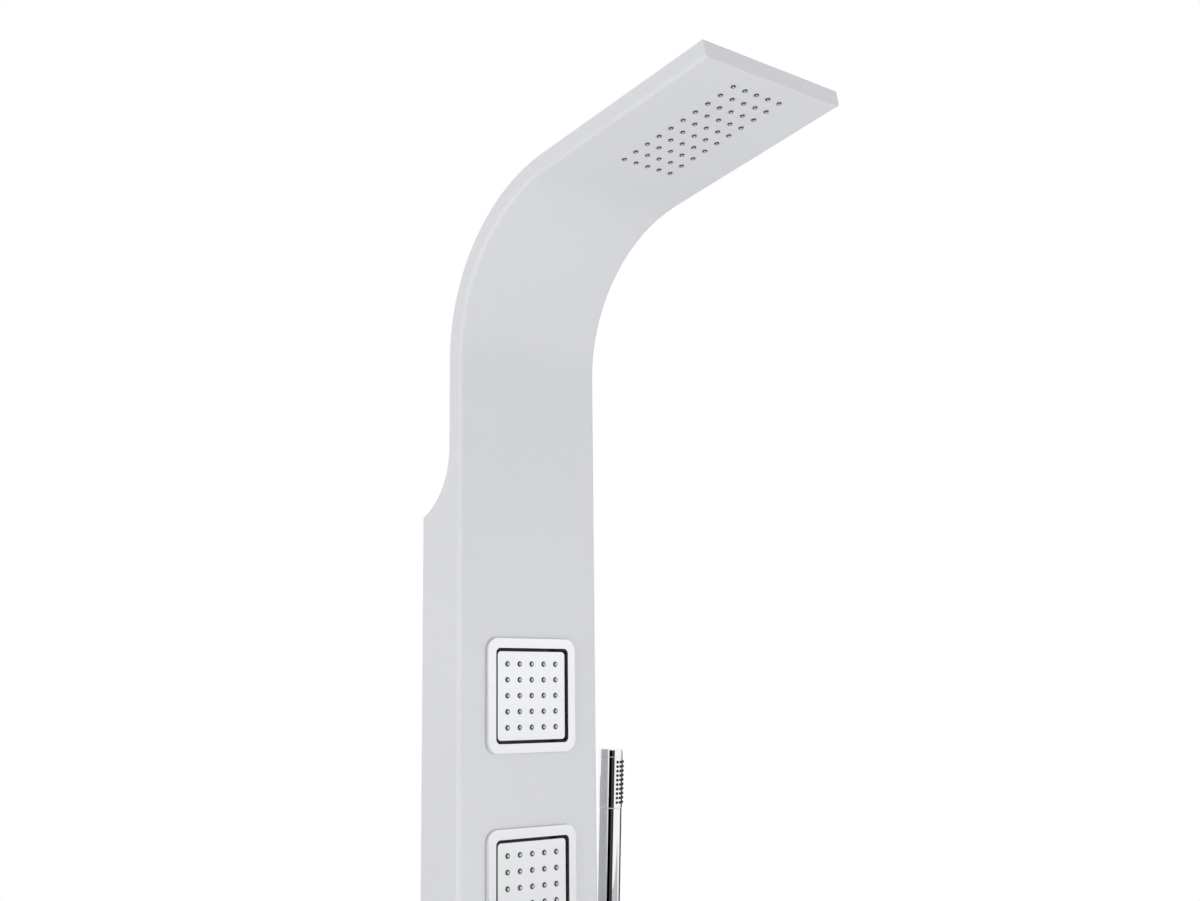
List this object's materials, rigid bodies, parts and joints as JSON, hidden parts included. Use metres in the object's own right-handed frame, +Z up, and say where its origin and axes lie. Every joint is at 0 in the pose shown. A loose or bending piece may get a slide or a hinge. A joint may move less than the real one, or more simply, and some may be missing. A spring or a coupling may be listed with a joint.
{
  "type": "shower panel column",
  "caption": "Wall-hung shower column: bent metal panel with overhead spray arm, tilting square body jets, lever mixer, diverter knob and stick handset in a swivel holder.",
  "frame": {"origin": "middle of the upper wall bracket's four screw holes, on the wall plane", "axes": "+Z up along the column, +Y into the wall, +X to the right as seen from the front"},
  "size_m": [0.2235, 0.3878, 1.3104],
  "materials": {
    "panel_silver": "satin anodised, very fine grain",
    "chrome": "polished chrome plate",
    "index_mark": "gloss red and blue mark",
    "brass": "cast and turned brass",
    "grey_plastic": "moulded, matte",
    "white_nylon": "moulded nylon",
    "silicone": "grey silicone",
    "black_rubber": "black rubber",
    "hose_white": "smooth plastic hose",
    "steel": "stainless, brushed"
  },
  "bodies": {
    "column": {"bottom_cap": "grey_plastic", "cold_inlet_union": "brass", "cover_blocks": "steel", "cover_screws": "steel", "diverter_cartridge": "white_nylon", "diverter_escutcheon": "chrome", "diverter_gland_nut": "brass", "front_panel": "panel_silver", "handset_feed_hose": "hose_white", "head_chamber": "grey_plastic", "head_hose": "hose_white", "head_nozzle_mat": "silicone", "head_nuts": "steel", "holder_base": "chrome", "holder_screw": "steel", "hose_ferrules": "steel", "hot_inlet_union": "brass", "jet_gaskets": "black_rubber", "jet_link_hose": "hose_white", "jet_screws": "steel", "jet_supply_hose": "hose_white", "lower_hanger_rail": "steel", "lower_jet_bezel": "chrome", "lower_jet_housing": "grey_plastic", "lower_jet_retainer": "grey_plastic", "lower_wall_bracket": "steel", "mixer_bonnet_nut": "brass", "mixer_cartridge": "white_nylon", "mixer_escutcheon": "chrome", "neck_back_cover": "panel_silver", "outlet_elbow": "chrome", "upper_hanger_rail": "steel", "upper_jet_bezel": "chrome", "upper_jet_housing": "grey_plastic", "upper_jet_retainer": "grey_plastic", "upper_wall_bracket": "steel", "valve_body": "brass"},
    "upper_jet_pan": {"upper_jet_ball_liner": "white_nylon"},
    "upper_jet_plate": {"upper_jet_ball_stem": "brass", "upper_jet_back_shell": "grey_plastic", "upper_jet_nozzle_mat": "silicone", "upper_jet_spray_plate": "chrome"},
    "lower_jet_pan": {"lower_jet_ball_liner": "white_nylon"},
    "lower_jet_plate": {"lower_jet_ball_stem": "brass", "lower_jet_back_shell": "grey_plastic", "lower_jet_nozzle_mat": "silicone", "lower_jet_spray_plate": "chrome"},
    "mixer_turning": {"mixer_turn_disc": "white_nylon"},
    "mixer_handle": {"mixer_stem": "brass", "mixer_lever": "chrome", "mixer_index_cap": "index_mark"},
    "diverter_handle": {"diverter_spindle": "brass", "diverter_knob": "chrome"},
    "cradle": {"holder_cradle": "chrome"},
    "handset": {"handset_handle": "chrome", "handset_head": "chrome", "handset_cap": "chrome", "handset_nozzles": "black_rubber", "handset_inlet": "brass"}
  },
  "joints": [
    {"name": "upper_jet_turn", "type": "hinge", "parent": "column", "child": "upper_jet_pan", "pos_m": [0, -0.044, -0.11], "axis": [0, 0, 1], "range_deg": [-7, 7]},
    {"name": "upper_jet_tilt", "type": "hinge", "parent": "upper_jet_pan", "child": "upper_jet_plate", "pos_m": [0, -0.044, -0.11], "axis": [1, 0, 0], "range_deg": [-7, 7]},
    {"name": "lower_jet_turn", "type": "hinge", "parent": "column", "child": "lower_jet_pan", "pos_m": [0, -0.044, -0.288], "axis": [0, 0, 1], "range_deg": [-7, 7]},
    {"name": "lower_jet_tilt", "type": "hinge", "parent": "lower_jet_pan", "child": "lower_jet_plate", "pos_m": [0, -0.044, -0.288], "axis": [1, 0, 0], "range_deg": [-7, 7]},
    {"name": "mixer_turn", "type": "hinge", "parent": "column", "child": "mixer_turning", "pos_m": [0, -0.057, -0.62], "axis": [0, -1, 0], "range_deg": [-50, 50]},
    {"name": "mixer_lift", "type": "hinge", "parent": "mixer_turning", "child": "mixer_handle", "pos_m": [0, -0.057, -0.62], "axis": [-1, 0, 0], "range_deg": [0, 20]},
    {"name": "diverter_turn", "type": "hinge", "parent": "column", "child": "diverter_handle", "pos_m": [0, -0.057, -0.48], "axis": [0, -1, 0], "range_deg": [-90, 90]},
    {"name": "holder_swivel", "type": "hinge", "parent": "column", "child": "cradle", "pos_m": [0.1215, -0.03, -0.367], "axis": [1, 0, 0], "range_deg": [-20, 45]},
    {"name": "handset_lift", "type": "slide", "parent": "cradle", "child": "handset", "axis": [0, -0.0454, 0.999], "range_m": [0, 0.08]}
  ]
}
